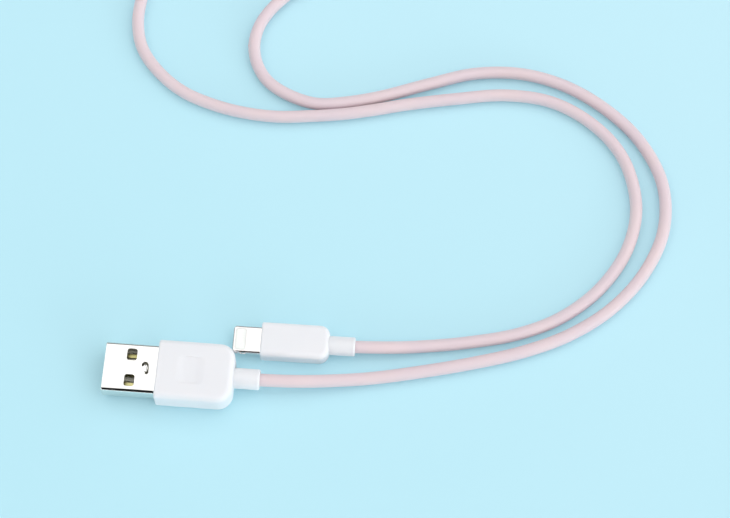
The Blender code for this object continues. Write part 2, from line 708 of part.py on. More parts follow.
def coil_section(grow=0.0):
    """The coil's cross-section as (height, distance from the coil's centre), grown all round."""
    low = COIL_BOTTOM - grow
    high = COIL_BOTTOM + COIL_HEIGHT + grow
    inner = COIL_INNER_TURN - CORD_RADIUS - grow
    outer = COIL_OUTER_TURN + CORD_RADIUS + grow
    middle = ((low + high) / 2, (inner + outer) / 2)
    return rounded_rectangle(high - low, outer - inner, 1.2 * MM + grow, steps=3, centre=middle)


def make_coil(materials):
    turned("cord_coil", coil_section(), materials["cord"], None, 48, COIL_CENTRE, upright=True)


def make_strap(materials):
    """A flat strap round the coil's bundle of turns."""
    holder = bpy.data.objects.new("strap_place", None)
    bpy.context.scene.collection.objects.link(holder)
    holder.location = COIL_CENTRE
    holder.rotation_euler = (0.0, 0.0, STRAP_ANGLE - pi / 2)
    outside = [(distance, height) for height, distance in coil_section(GAP + STRAP_THICKNESS)]
    inside = [(distance, height) for height, distance in coil_section(GAP)]
    half = STRAP_WIDTH / 2
    curve_room = COIL_INNER_TURN * (1 - cos(half / COIL_INNER_TURN))
    outside = [(y - (curve_room if y < COIL_INNER_TURN else 0.0), z) for y, z in outside]
    inside = [(y - (curve_room if y < COIL_INNER_TURN else 0.0), z) for y, z in inside]
    strap = prism("coil_strap", outside, -half, half, materials["strap"], holder, "x")
    cut(strap, prism("coil_strap_hollow", inside, -half - MM, half + MM, parent=holder, along="x"))


def main():
    clear_scene()
    materials = make_materials()
    make_usb_plug(materials)
    make_phone_plug(materials)
    make_cord(materials)
    make_coil(materials)
    make_strap(materials)


main()
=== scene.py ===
"""The looks of a charging cable: a USB-A plug and a flat phone plug on one soft pink cord."""

import json
from math import atan2, ceil, cos, hypot, pi, radians, sin, sqrt

import bmesh
import bpy
from mathutils import Matrix, Vector

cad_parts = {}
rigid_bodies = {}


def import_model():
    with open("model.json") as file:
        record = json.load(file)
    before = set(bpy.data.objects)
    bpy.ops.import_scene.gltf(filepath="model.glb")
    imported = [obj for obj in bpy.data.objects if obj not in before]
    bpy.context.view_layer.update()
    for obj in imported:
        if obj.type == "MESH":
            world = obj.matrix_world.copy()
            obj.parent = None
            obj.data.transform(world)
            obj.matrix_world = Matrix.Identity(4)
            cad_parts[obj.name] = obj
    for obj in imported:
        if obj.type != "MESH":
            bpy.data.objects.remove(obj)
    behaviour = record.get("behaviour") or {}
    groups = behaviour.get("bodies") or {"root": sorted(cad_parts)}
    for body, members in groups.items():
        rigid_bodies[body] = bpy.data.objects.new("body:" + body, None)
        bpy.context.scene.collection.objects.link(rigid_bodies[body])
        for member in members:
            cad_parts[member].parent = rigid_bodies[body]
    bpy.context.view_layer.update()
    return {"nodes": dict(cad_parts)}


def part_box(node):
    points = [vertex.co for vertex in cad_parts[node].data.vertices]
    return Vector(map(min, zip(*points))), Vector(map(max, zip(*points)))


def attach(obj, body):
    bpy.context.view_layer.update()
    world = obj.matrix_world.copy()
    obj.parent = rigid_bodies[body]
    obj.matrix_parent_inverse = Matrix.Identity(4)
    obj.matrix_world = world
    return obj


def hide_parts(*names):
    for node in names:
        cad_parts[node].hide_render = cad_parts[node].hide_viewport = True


for thing in list(bpy.data.objects):
    bpy.data.objects.remove(thing, do_unlink=True)

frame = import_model()
NODES = frame["nodes"]
BODY = "root"
MM = 0.001

# ---------------------------------------------------------------- camera

VIEW_TARGET = Vector((29.25, 30.02, 0.0)) * MM
VIEW_DISTANCE = 502.3 * MM
VIEW_ELEVATION = radians(68.0)
VIEW_TURN = radians(4.51)
VIEW_LENS = 103.6


def make_camera():
    data = bpy.data.cameras.new("camera")
    data.lens = VIEW_LENS
    data.sensor_width = 36.0
    data.clip_start = 0.01
    data.clip_end = 20.0
    camera = bpy.data.objects.new("camera", data)
    bpy.context.scene.collection.objects.link(camera)
    level = cos(VIEW_ELEVATION)
    back = Vector((sin(VIEW_TURN) * level, -cos(VIEW_TURN) * level, sin(VIEW_ELEVATION)))
    camera.location = VIEW_TARGET + back * VIEW_DISTANCE
    camera.rotation_mode = "QUATERNION"
    camera.rotation_quaternion = back.to_track_quat("Z", "Y")
    bpy.context.scene.camera = camera


# ---------------------------------------------------------------- cord route

CORD_RADIUS = 1.5 * MM
CORD_STEP = 1.5 * MM
CORD_TUCK = 1.5 * MM
STEPS_BETWEEN_SPOTS = 20
COIL_CENTRE = Vector((3.2, 124.8, 0.0)) * MM
COIL_OUTER_TURN = 18.5 * MM
COIL_INNER_TURN = 11.7 * MM
COIL_HALF_TURNS = 9
COIL_ENTRY = radians(135)
COIL_POINTS_PER_TURN = 24
CORD_LOW = 1.55 * MM
LAYER_STEP = 3.05 * MM
# Angles of the way round, in radians: over these the cord turns back from the inmost turn, climbs
# to the upper layer, begins to come down before it leaves, and rises over the strap's tape.
COIL_TURN_BACK = 0.25
COIL_CLIMB = 1.2
COIL_DESCENT = 1.4
STRAP_HUMP = 0.5
COIL_DESCENT_SHARE = 0.25
STRAP_THICKNESS = 0.6 * MM
STRAP_ANGLE = radians(40)

# The lying stretches, in millimetres, as the CAD part has them.
USB_ROUTE = [
    (7.8, -3.5, 3.6),
    (14.5, -3.2, 3.4),
    (22.5, -2.2, 2.5),
    (33.0, -0.45, 1.7),
    (44.5, 2.1, 1.55),
    (56.5, 5.2, 1.55),
    (68.0, 8.9, 1.55),
    (78.6, 13.9, 1.55),
    (88.0, 21.0, 1.55),
    (95.5, 30.5, 1.55),
    (100.0, 42.0, 1.55),
    (99.6, 54.0, 1.55),
    (94.4, 64.5, 1.55),
    (86.5, 72.4, 1.55),
    (76.0, 78.6, 1.55),
    (64.6, 81.5, 1.55),
    (52.8, 80.8, 1.55),
    (41.4, 77.0, 1.55),
    (30.0, 72.7, 1.55),
    (21.0, 70.3, 1.55),
    (14.0, 69.5, 1.55),
    (7.4, 71.2, 1.55),
    (2.0, 74.4, 1.55),
    (-1.2, 78.8, 1.55),
    (-2.6, 84.0, 1.55),
    (-2.0, 89.4, 1.55),
    (0.4, 94.4, 1.6),
    (4.2, 98.9, 2.0),
    (8.8, 103.6, 3.0),
]
PHONE_ROUTE = [
    (29.2, 6.7, 2.6),
    (36.0, 7.2, 2.3),
    (43.5, 8.2, 1.7),
    (54.5, 10.1, 1.55),
    (66.5, 13.2, 1.55),
    (76.8, 18.3, 1.55),
    (85.5, 26.3, 1.55),
    (91.5, 36.7, 1.55),
    (93.3, 48.2, 1.55),
    (90.0, 60.1, 1.55),
    (82.6, 68.7, 1.55),
    (72.1, 74.3, 1.55),
    (60.4, 75.4, 1.55),
    (48.0, 73.4, 1.55),
    (36.5, 71.0, 1.55),
    (28.5, 68.9, 1.55),
    (20.5, 67.1, 1.55),
    (13.0, 66.0, 1.55),
    (5.0, 65.2, 1.55),
    (-3.0, 65.6, 1.55),
    (-11.0, 67.2, 1.55),
    (-18.9, 70.2, 1.55),
    (-25.4, 75.1, 1.55),
    (-30.2, 81.3, 1.55),
    (-32.2, 88.6, 1.55),
    (-32.0, 96.3, 1.55),
    (-30.9, 104.0, 1.55),
    (-28.5, 112.0, 1.55),
    (-24.3, 120.5, 1.55),
    (-18.2, 129.9, 1.55),
]


def smoothstep(value):
    """0 below 0, 1 above 1, and smooth between."""
    value = min(1.0, max(0.0, value))
    return value * value * (3 - 2 * value)


def coil_path():
    """The coil from the phone side to the USB side: inwards on the lower layer, outwards on the upper."""
    count = COIL_POINTS_PER_TURN * COIL_HALF_TURNS // 2
    whole_way = pi * COIL_HALF_TURNS
    middle = whole_way / 2
    farthest = hypot(middle, COIL_TURN_BACK) - COIL_TURN_BACK
    points = []
    for step in range(count + 1):
        turned = whole_way * step / count
        angle = COIL_ENTRY - turned
        away = hypot(turned - middle, COIL_TURN_BACK) - COIL_TURN_BACK
        radius = COIL_INNER_TURN + (COIL_OUTER_TURN - COIL_INNER_TURN) * away / farthest
        climb = smoothstep((turned - middle) / COIL_CLIMB + 0.5)
        leave = max(0.0, (turned - whole_way) / COIL_DESCENT + 0.5)
        off_strap = atan2(sin(angle - STRAP_ANGLE), cos(angle - STRAP_ANGLE))
        lift = STRAP_THICKNESS / (1 + (off_strap / STRAP_HUMP) ** 4)
        height = CORD_LOW + LAYER_STEP * (climb - COIL_DESCENT_SHARE * leave**2) + lift
        points.append(COIL_CENTRE + Vector((radius * cos(angle), radius * sin(angle), height)))
    return points


def smooth_path(spots, spacing):
    """Evenly spaced points on a smooth curve through the spots."""
    spots = [2 * spots[0] - spots[1]] + spots + [2 * spots[-1] - spots[-2]]
    fine = []
    for before, a, b, after in zip(spots, spots[1:], spots[2:], spots[3:]):
        for step in range(STEPS_BETWEEN_SPOTS):
            t = step / STEPS_BETWEEN_SPOTS
            bend = 2 * before - 5 * a + 4 * b - after
            twist = 3 * a - before - 3 * b + after
            fine.append(a + 0.5 * ((b - before) * t + bend * t**2 + twist * t**3))
    fine.append(spots[-2])
    lengths = [0.0]
    for a, b in zip(fine, fine[1:]):
        lengths.append(lengths[-1] + (b - a).length)
    count = ceil(lengths[-1] / spacing)
    path = []
    place = 0
    for step in range(count + 1):
        wanted = lengths[-1] * step / count
        while place < len(fine) - 2 and lengths[place + 1] < wanted:
            place += 1
        share = (wanted - lengths[place]) / (lengths[place + 1] - lengths[place])
        path.append(fine[place].lerp(fine[place + 1], share))
    return path


def tucked(route):
    """The route with its first spot moved back into the collar that it comes out of."""
    first, second = route[:2]
    return [first + (first - second).normalized() * CORD_TUCK] + route[1:]


def make_cord(strap):
    """The whole cord, from inside the USB collar to inside the phone collar."""
    usb_side = tucked([Vector(spot) * MM for spot in USB_ROUTE])
    phone_side = tucked([Vector(spot) * MM for spot in PHONE_ROUTE])
    path = smooth_path(usb_side + coil_path()[::-1] + phone_side[::-1], CORD_STEP)
    curve = bpy.data.curves.new("cord", "CURVE")
    curve.dimensions = "3D"
    curve.bevel_depth = CORD_RADIUS
    curve.bevel_resolution = 6
    curve.use_fill_caps = True
    line = curve.splines.new("POLY")
    line.points.add(len(path) - 1)
    for point, place in zip(line.points, path):
        point.co = (*place, 1.0)
    line.use_smooth = True
    cord = bpy.data.objects.new("cord", curve)
    bpy.context.scene.collection.objects.link(cord)
    curve.materials.append(cord_material())
    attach(cord, BODY)
    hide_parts("cord_usb_side", "cord_coil", "cord_phone_side")


# ---------------------------------------------------------------- materials

# How much finer the pattern of rolled metal is along each axis.
ROLLED = (1.0, 12.0, 12.0)


def new_material(name, roughness, metallic=0.0):
    material = bpy.data.materials.new(name)
    material.use_nodes = True
    shader = material.node_tree.nodes["Principled BSDF"]
    shader.inputs["Roughness"].default_value = roughness
    shader.inputs["Metallic"].default_value = metallic
    return material, shader


def noise(material, scale, detail=3.0, stretch=(1.0, 1.0, 1.0)):
    """The output of a noise texture of that many cells per metre."""
    tree = material.node_tree
    place = tree.nodes.new("ShaderNodeTexCoord")
    mapping = tree.nodes.new("ShaderNodeMapping")
    mapping.inputs["Scale"].default_value = stretch
    texture = tree.nodes.new("ShaderNodeTexNoise")
    texture.inputs["Scale"].default_value = scale
    texture.inputs["Detail"].default_value = detail
    tree.links.new(place.outputs["Object"], mapping.inputs["Vector"])
    tree.links.new(mapping.outputs["Vector"], texture.inputs["Vector"])
    return texture.outputs["Fac"]


def mottled(material, shader, tones, scale, stretch=(1.0, 1.0, 1.0)):
    """The base colour drifts softly between two tones."""
    tree = material.node_tree
    ramp = tree.nodes.new("ShaderNodeValToRGB")
    for stop, place, tone in zip(ramp.color_ramp.elements, (0.35, 0.65), tones):
        stop.position = place
        stop.color = (*tone, 1.0)
    tree.links.new(noise(material, scale, 3.0, stretch), ramp.inputs["Fac"])
    tree.links.new(ramp.outputs["Color"], shader.inputs["Base Color"])


def uneven_gloss(material, shader, low, high, scale, stretch=(1.0, 1.0, 1.0)):
    tree = material.node_tree
    spread = tree.nodes.new("ShaderNodeMapRange")
    spread.inputs["From Min"].default_value = 0.3
    spread.inputs["From Max"].default_value = 0.7
    spread.inputs["To Min"].default_value = low
    spread.inputs["To Max"].default_value = high
    tree.links.new(noise(material, scale, 4.0, stretch), spread.inputs["Value"])
    tree.links.new(spread.outputs["Result"], shader.inputs["Roughness"])


def grain(material, shader, scale, depth, stretch=(1.0, 1.0, 1.0)):
    """A fine relief of that depth in metres."""
    tree = material.node_tree
    bump = tree.nodes.new("ShaderNodeBump")
    bump.inputs["Strength"].default_value = 1.0
    bump.inputs["Distance"].default_value = depth
    tree.links.new(noise(material, scale, 2.0, stretch), bump.inputs["Height"])
    tree.links.new(bump.outputs["Normal"], shader.inputs["Normal"])


def plastic(name, tones, roughness, glow=0.0):
    """A moulded plastic: satin, finely textured, a little translucent where glow is above 0."""
    material, shader = new_material(name, roughness)
    mottled(material, shader, tones, 90.0)
    uneven_gloss(material, shader, roughness - 0.06, roughness + 0.06, 700.0)
    grain(material, shader, 9000.0, 0.002 * MM)
    if glow:
        shader.subsurface_method = "RANDOM_WALK"
        shader.inputs["Subsurface Weight"].default_value = glow
        shader.inputs["Subsurface Radius"].default_value = (1.0, 0.9, 0.85)
        shader.inputs["Subsurface Scale"].default_value = 1.5 * MM
    return material


def metal(name, tones, roughness):
    """Rolled metal with faint lines along X."""
    material, shader = new_material(name, roughness, 1.0)
    mottled(material, shader, tones, 60.0, ROLLED)
    uneven_gloss(material, shader, roughness - 0.04, roughness + 0.05, 500.0, ROLLED)
    grain(material, shader, 1500.0, 0.0001 * MM, ROLLED)
    return material


def cord_material():
    return plastic("cord_jacket", ((0.69, 0.58, 0.624), (0.715, 0.593, 0.618)), 0.5, 0.15)


def make_materials():
    return {
        "boot": plastic("boot_plastic", ((0.772, 0.782, 0.815), (0.785, 0.793, 0.822)), 0.42, 0.3),
        "steel": metal("bright_steel", ((0.835, 0.825, 0.80), (0.855, 0.845, 0.82)), 0.1),
        # Dark olive steel for the shell's inner face and cut rims: painted shade inside the shell.
        "shaded_inner_steel": metal("shaded_inner_steel", ((0.20, 0.20, 0.12), (0.26, 0.25, 0.16)), 0.45),
        "tab": metal("tab_steel", ((0.79, 0.755, 0.745), (0.81, 0.77, 0.755)), 0.18),
        # Gold darkened to olive: painted shade, for contacts that lie inside the shell.
        "gold": metal("contact_gold", ((0.47, 0.44, 0.18), (0.54, 0.50, 0.24)), 0.3),
        "silver": metal("contact_silver", ((0.80, 0.82, 0.80), (0.82, 0.84, 0.815)), 0.45),
        "insulator": plastic("insulator_plastic", ((0.74, 0.72, 0.62), (0.78, 0.76, 0.66)), 0.5),
        "carrier": plastic("carrier_plastic", ((0.80, 0.825, 0.80), (0.82, 0.84, 0.815)), 0.4),
        "board": plastic("circuit_board", ((0.02, 0.14, 0.07), (0.04, 0.20, 0.10)), 0.4),
        "chip": plastic("chip_black", ((0.02, 0.02, 0.022), (0.035, 0.035, 0.037)), 0.45),
        "strap": strap_material(),
        "wire_red": plastic("wire_red", ((0.55, 0.02, 0.02), (0.65, 0.04, 0.03)), 0.4),
        "wire_white": plastic("wire_white", ((0.75, 0.75, 0.74), (0.80, 0.80, 0.79)), 0.4),
        "wire_green": plastic("wire_green", ((0.02, 0.32, 0.07), (0.04, 0.40, 0.09)), 0.4),
        "wire_black": plastic("wire_black", ((0.02, 0.02, 0.02), (0.035, 0.035, 0.035)), 0.4),
    }


def strap_material():
    """White woven tape: two crossing sets of fine ribs."""
    material, shader = new_material("strap_weave", 0.85)
    tree = material.node_tree
    mottled(material, shader, ((0.70, 0.70, 0.70), (0.80, 0.80, 0.79)), 2500.0)
    place = tree.nodes.new("ShaderNodeTexCoord")
    ribs = []
    for direction in ("X", "Y"):
        wave = tree.nodes.new("ShaderNodeTexWave")
        wave.wave_type = "BANDS"
        wave.bands_direction = direction
        wave.inputs["Scale"].default_value = 600.0
        tree.links.new(place.outputs["Object"], wave.inputs["Vector"])
        ribs.append(wave.outputs["Fac"])
    weave = tree.nodes.new("ShaderNodeMath")
    weave.operation = "MULTIPLY"
    tree.links.new(ribs[0], weave.inputs[0])
    tree.links.new(ribs[1], weave.inputs[1])
    bump = tree.nodes.new("ShaderNodeBump")
    bump.inputs["Distance"].default_value = 0.06 * MM
    tree.links.new(weave.outputs["Value"], bump.inputs["Height"])
    tree.links.new(bump.outputs["Normal"], shader.inputs["Normal"])
    return material


# ---------------------------------------------------------------- mesh tools

FRONT_CORNER_STEPS = 5
REAR_CORNER_STEPS = 8
TURNED_SIDES = 48
# Edges that bend more than this are softened.
SOFTENED_ANGLE = radians(40)


def arc(centre_x, centre_y, radius, start, end, steps):
    """Points on a circle as (x, y, outward x, outward y), from start to end in degrees."""
    angles = [radians(start + (end - start) * i / steps) for i in range(steps + 1)]
    return [(centre_x + radius * cos(a), centre_y + radius * sin(a), cos(a), sin(a)) for a in angles]


def rounded_rectangle(width, height, corner, steps=5, centre=(0.0, 0.0)):
    """An anticlockwise outline around the centre, as (x, y)."""
    points = []
    for sign_x, sign_y, start in ((1, 1, 0), (-1, 1, 90), (-1, -1, 180), (1, -1, 270)):
        middle_x = centre[0] + sign_x * (width / 2 - corner)
        middle_y = centre[1] + sign_y * (height / 2 - corner)
        points += [(x, y) for x, y, _, _ in arc(middle_x, middle_y, corner, start, start + 90, steps)]
    return points


def plug_outline(length, width, front_corner, rear_corner, side_places):
    """A plug piece seen from above, from its front at x = 0, as (x, y, outward x, outward y).

    Anticlockwise from the near rear corner; side_places are extra points along each long side."""
    side = width / 2
    rear_x = length - rear_corner
    rear_y = side - rear_corner
    front_y = side - front_corner
    points = arc(rear_x, -rear_y, rear_corner, -90, 0, REAR_CORNER_STEPS)
    points += arc(rear_x, rear_y, rear_corner, 0, 90, REAR_CORNER_STEPS)
    points += [(x, side, 0.0, 1.0) for x in reversed(side_places)]
    points += arc(front_corner, front_y, front_corner, 90, 180, FRONT_CORNER_STEPS)
    points += arc(front_corner, -front_y, front_corner, 180, 270, FRONT_CORNER_STEPS)
    points += [(x, -side, 0.0, -1.0) for x in side_places]
    return points


def rim_rings(outline, height, rim_at, angles):
    """Rings from the bottom face to the top face of a plate whose rims are rounded by rim_at(x)."""
    rings = []
    for sign in (-1, 1):
        for angle in angles[::sign]:
            ring = []
            for x, y, out_x, out_y in outline:
                rim = rim_at(x)
                inset = rim * (1 - cos(angle))
                level = sign * (height / 2 - rim * (1 - sin(angle)))
                ring.append(Vector((x - out_x * inset, y - out_y * inset, level)))
            rings.append(ring)
    return rings


def add_ring(shape, places):
    return [shape.verts.new(place) for place in places]


def ring_edges(shape, ring):
    """The edges around a ring of vertices, made where they are missing."""
    edges = []
    for a, b in zip(ring, ring[1:] + ring[:1]):
        edges.append(shape.edges.get((a, b)) or shape.edges.new((a, b)))
    return edges


def skin(shape, rings):
    """Quads between neighbouring rings."""
    for ring, after in zip(rings, rings[1:]):
        for i in range(len(ring)):
            j = (i + 1) % len(ring)
            shape.faces.new((ring[i], ring[j], after[j], after[i]))


def fill(shape, *loops):
    """A flat face inside the first loop and outside the others; each loop is a list of edges."""
    edges = [edge for loop in loops for edge in loop]
    bmesh.ops.triangle_fill(shape, use_beauty=True, use_dissolve=False, edges=edges)


def level_ring(outline, level):
    return [Vector((x, y, level)) for x, y in outline]


def finish_piece(name, shape, place, material, nodes, smooth=True):
    """Turns the shape into a piece that lies at the plug's place and stands for the CAD nodes."""
    bmesh.ops.recalc_face_normals(shape, faces=shape.faces)
    mesh = bpy.data.meshes.new(name)
    shape.to_mesh(mesh)
    shape.free()
    mesh.transform(place)
    if smooth:
        mesh.shade_smooth()
    mesh.materials.append(material)
    piece = bpy.data.objects.new(name, mesh)
    bpy.context.scene.collection.objects.link(piece)
    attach(piece, BODY)
    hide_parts(*nodes)
    return piece


def even_shading(piece):
    """Keeps broad flat faces flat where they meet small rounded ones."""
    weighted = piece.modifiers.new("even shading", "WEIGHTED_NORMAL")
    weighted.mode = "FACE_AREA"
    weighted.weight = 100
    weighted.keep_sharp = True


def flat_panels(piece):
    """Keeps the filled panels, which are the piece's only triangles, free of bent shading."""
    for face in piece.data.polygons:
        face.use_smooth = len(face.vertices) > 3


def soften_edges(piece, width, segments=2):
    bevel = piece.modifiers.new("soft edges", "BEVEL")
    bevel.width = width
    bevel.segments = segments
    bevel.limit_method = "ANGLE"
    bevel.angle_limit = SOFTENED_ANGLE
    bevel.use_clamp_overlap = False


def turned(shape, profile):
    """The closed profile of (distance along X, radius) turned round the X axis."""
    rings = []
    for step in range(TURNED_SIDES):
        angle = 2 * pi * step / TURNED_SIDES
        rings.append(add_ring(shape, [Vector((a, r * cos(angle), r * sin(angle))) for a, r in profile]))
    skin(shape, rings + rings[:1])


def box_mesh(shape, low, high):
    outline = [(low[0], low[1]), (high[0], low[1]), (high[0], high[1]), (low[0], high[1])]
    rings = [add_ring(shape, level_ring(outline, level)) for level in (low[2], high[2])]
    skin(shape, rings)
    shape.faces.new(rings[0])
    shape.faces.new(rings[1])


# ---------------------------------------------------------------- where the plugs lie

PHONE_PLUG_TURN = radians(0.7)


def plug_place(node, turn, tip):
    """The plug's own frame: X from its tip to its cord, origin on its axis at its tip.

    The node's middle lies that far behind the tip."""
    low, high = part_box(node)
    turned_frame = Matrix.Rotation(turn, 4, "Z")
    return Matrix.Translation((low + high) / 2) @ turned_frame @ Matrix.Translation((-tip, 0.0, 0.0))


def node_size(node):
    low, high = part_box(node)
    return high - low


# ---------------------------------------------------------------- moulded boots and collars

MOUTH_DEPTH = 1.2 * MM
RIM_STEPS = 8
RIM_ANGLES = [radians(90 * step / RIM_STEPS) for step in range(RIM_STEPS + 1)]
# A boot's rear corner seen from above, its front edge and its long rims.
USB_ROUNDING = (3.6 * MM, 0.45 * MM, 1.4 * MM)
PHONE_ROUNDING = (2.4 * MM, 0.4 * MM, 1.2 * MM)
# The sunk label's floor as length, width and corner, and its middle as a share of the boot's length.
LABEL_SIZE = (2.0 * MM, 6.2 * MM, 0.8 * MM)
LABEL_PLACE = 0.44
# The width of the slope round that floor, at its two ends and at its two sides.
LABEL_SLOPE = (2.6 * MM, 0.3 * MM)
LABEL_DEPTH = 0.24 * MM
SLOPE_STEPS = 4
COLLAR_LIP = 0.45 * MM
COLLAR_LIP_STEPS = 6
COLLAR_SUNK = 0.4 * MM
COLLAR_BORE_ROOM = 0.08 * MM
BORE_CHAMFER = 0.12 * MM


def rim_levels(height, rim):
    """A side's rounded section from bottom to top, as (inset, level, sideways, upwards)."""
    levels = []
    for sign in (-1, 1):
        for angle in RIM_ANGLES[::sign]:
            inset = rim * (1 - cos(angle))
            level = sign * (height / 2 - rim * (1 - sin(angle)))
            levels.append((inset, level, cos(angle), sign * sin(angle)))
    return levels


def boot_shell(shape, front, size, rear_corner, front_round, rim):
    """The boot's outer skin, open at its flat front and top; gives those two rims back.

    The rear is a stack of level rounds, the front a row of upright sections."""
    length, width, height = size
    side = width / 2
    turn_x = front + length - rear_corner
    levels = rim_levels(height, rim)
    rounds = []
    for inset, level, _, _ in levels:
        spots = [(front + front_round, inset - side)]
        for turn_y, start in ((rear_corner - side, -90), (side - rear_corner, 0)):
            corner = arc(turn_x, turn_y, rear_corner - inset, start, start + 90, REAR_CORNER_STEPS)
            spots += [(x, y) for x, y, _, _ in corner]
        spots.append((front + front_round, side - inset))
        rounds.append(add_ring(shape, level_ring(spots, level)))
    for lower, upper in zip(rounds, rounds[1:]):
        for i in range(len(lower) - 1):
            shape.faces.new((lower[i], lower[i + 1], upper[i + 1], upper[i]))
    shape.faces.new(rounds[0])
    sections = [[row[0] for row in rounds] + [row[-1] for row in reversed(rounds)]]
    for angle in RIM_ANGLES[1:]:
        x = front + front_round * (1 - sin(angle))
        shrink = front_round * (1 - cos(angle))
        half = [(side - i - out * shrink, level - up * shrink) for i, level, out, up in levels]
        spots = [Vector((x, -y, z)) for y, z in half] + [Vector((x, y, z)) for y, z in reversed(half)]
        sections.append(add_ring(shape, spots))
    skin(shape, sections)
    return sections[-1], rounds[-1]


def make_boot(name, place, front, size, rounding, mouth, label, material, node):
    """A boot with a mouth for the metal and, where label is given, a shallow sunk label.

    label is its length, width, corner and middle along X."""
    shape = bmesh.new()
    front_rim, top_rim = boot_shell(shape, front, size, *rounding)
    mouth_outline = rounded_rectangle(*mouth)
    lip = add_ring(shape, [Vector((front, y, z)) for y, z in mouth_outline])
    throat = add_ring(shape, [Vector((front + MOUTH_DEPTH, y, z)) for y, z in mouth_outline])
    skin(shape, [lip, throat])
    shape.faces.new(throat)
    fill(shape, ring_edges(shape, front_rim), ring_edges(shape, lip))
    if label:
        label_length, label_width, label_corner, label_x = label
        label_rings = []
        for step in range(SLOPE_STEPS + 1):
            share = step / SLOPE_STEPS
            grow_x, grow_y = (slope * (1 - share) for slope in LABEL_SLOPE)
            outline = rounded_rectangle(
                label_length + 2 * grow_x,
                label_width + 2 * grow_y,
                label_corner + grow_y,
                centre=(label_x, 0.0),
            )
            level = size[2] / 2 - LABEL_DEPTH * smoothstep(share)
            label_rings.append(add_ring(shape, level_ring(outline, level)))
        skin(shape, label_rings)
        shape.faces.new(label_rings[-1])
        fill(shape, ring_edges(shape, top_rim), ring_edges(shape, label_rings[0]))
    else:
        shape.faces.new(top_rim)
    boot = finish_piece(name, shape, place, material, [node])
    even_shading(boot)


def make_collar(name, place, rear, length, radius, material, node):
    """The strain relief: a plain collar with a soft lip, and a bore that the cord goes into."""
    bore = CORD_RADIUS + COLLAR_BORE_ROOM
    start = rear - COLLAR_SUNK
    end = rear + length
    profile = [(start, bore), (start, radius - COLLAR_SUNK / 2), (rear, radius)]
    profile.append((rear + length / 2, radius))
    for step in range(COLLAR_LIP_STEPS + 1):
        angle = radians(90 * step / COLLAR_LIP_STEPS)
        profile.append((end - COLLAR_LIP * (1 - sin(angle)), radius - COLLAR_LIP * (1 - cos(angle))))
    profile += [(end, bore + BORE_CHAMFER), (end - BORE_CHAMFER, bore)]
    shape = bmesh.new()
    turned(shape, profile)
    collar = finish_piece(name, shape, place, material, [node])
    even_shading(collar)


# ---------------------------------------------------------------- USB plug

SHELL_WALL = 0.3 * MM
SHELL_CORNER = 0.9 * MM
CORNER_STEPS = 10
SHELL_CHAMFER = (0.22 * MM, 0.17 * MM)
SHELL_SEAM = 0.08 * MM
SHELL_RIM = 0.05 * MM
WINDOW_LENGTH = 2.35 * MM
WINDOW_WIDTH = 2.8 * MM
WINDOW_CORNER = 0.55 * MM
WINDOW_X = 6.4 * MM
WINDOW_Y = 3.15 * MM
DIMPLE_LENGTH = 0.9 * MM
DIMPLE_WIDTH = 1.7 * MM
DIMPLE_X = 9.8 * MM
DIMPLE_DEPTH = 0.1 * MM
DIMPLE_SLOPE = 0.25 * MM
# The share of a round end's width that its corners take, just short of where they would meet.
ALMOST_HALF = 0.499
SLIT_ROOM = 0.12 * MM
# The slit cut round three sides of the dimple: (angle seen from above in degrees, width in mm).
DIMPLE_SLIT = (
    (-88, 0.3),
    (-68, 0.58),
    (-45, 0.58),
    (-25, 0.3),
    (0, 0.22),
    (25, 0.22),
    (48, 0.4),
    (75, 0.6),
    (110, 0.66),
    (138, 0.6),
    (155, 0.35),
)
USB_CONTACT_Y = (-3.5 * MM, -1.0 * MM, 1.0 * MM, 3.5 * MM)
USB_CONTACT_WIDTH = 1.0 * MM
GROOVE_ROOM = 0.3 * MM
GROOVE_DEPTH = 0.7 * MM
USB_CONTACT_LEVELS = (-0.25 * MM, 0.05 * MM)
TONGUE_BLOCK_FRONT = 11.3 * MM
TONGUE_BLOCK_BOTTOM = 0.1 * MM
TONGUE_BLOCK_ROOM = 0.05 * MM
# The mouth of the boot is this much wider than the shell on each side.
USB_MOUTH_ROOM = 0.08 * MM
# As the CAD part has it, because the flange inside the boot makes the node's box thicker.
USB_COLLAR_RADIUS = 2.42 * MM


def cut_panel(shape, borders, holes):
    """A flat panel between its four border vertices, with holes cut out."""
    loops = [ring_edges(shape, borders)] + [ring_edges(shape, hole) for hole in holes]
    fill(shape, *loops)


def slit_outline():
    """The slit as seen from above: its inner edge follows the dimple at a small distance."""
    inner = []
    outer = []
    for degrees, width in DIMPLE_SLIT:
        angle = radians(degrees)
        half_x = DIMPLE_LENGTH / 2 + SLIT_ROOM
        half_y = DIMPLE_WIDTH / 2 + SLIT_ROOM
        inner.append((DIMPLE_X + half_x * cos(angle), half_y * sin(angle)))
        half_x += width * MM
        half_y += width * MM
        outer.append((DIMPLE_X + half_x * cos(angle), half_y * sin(angle)))
    return outer + inner[::-1]


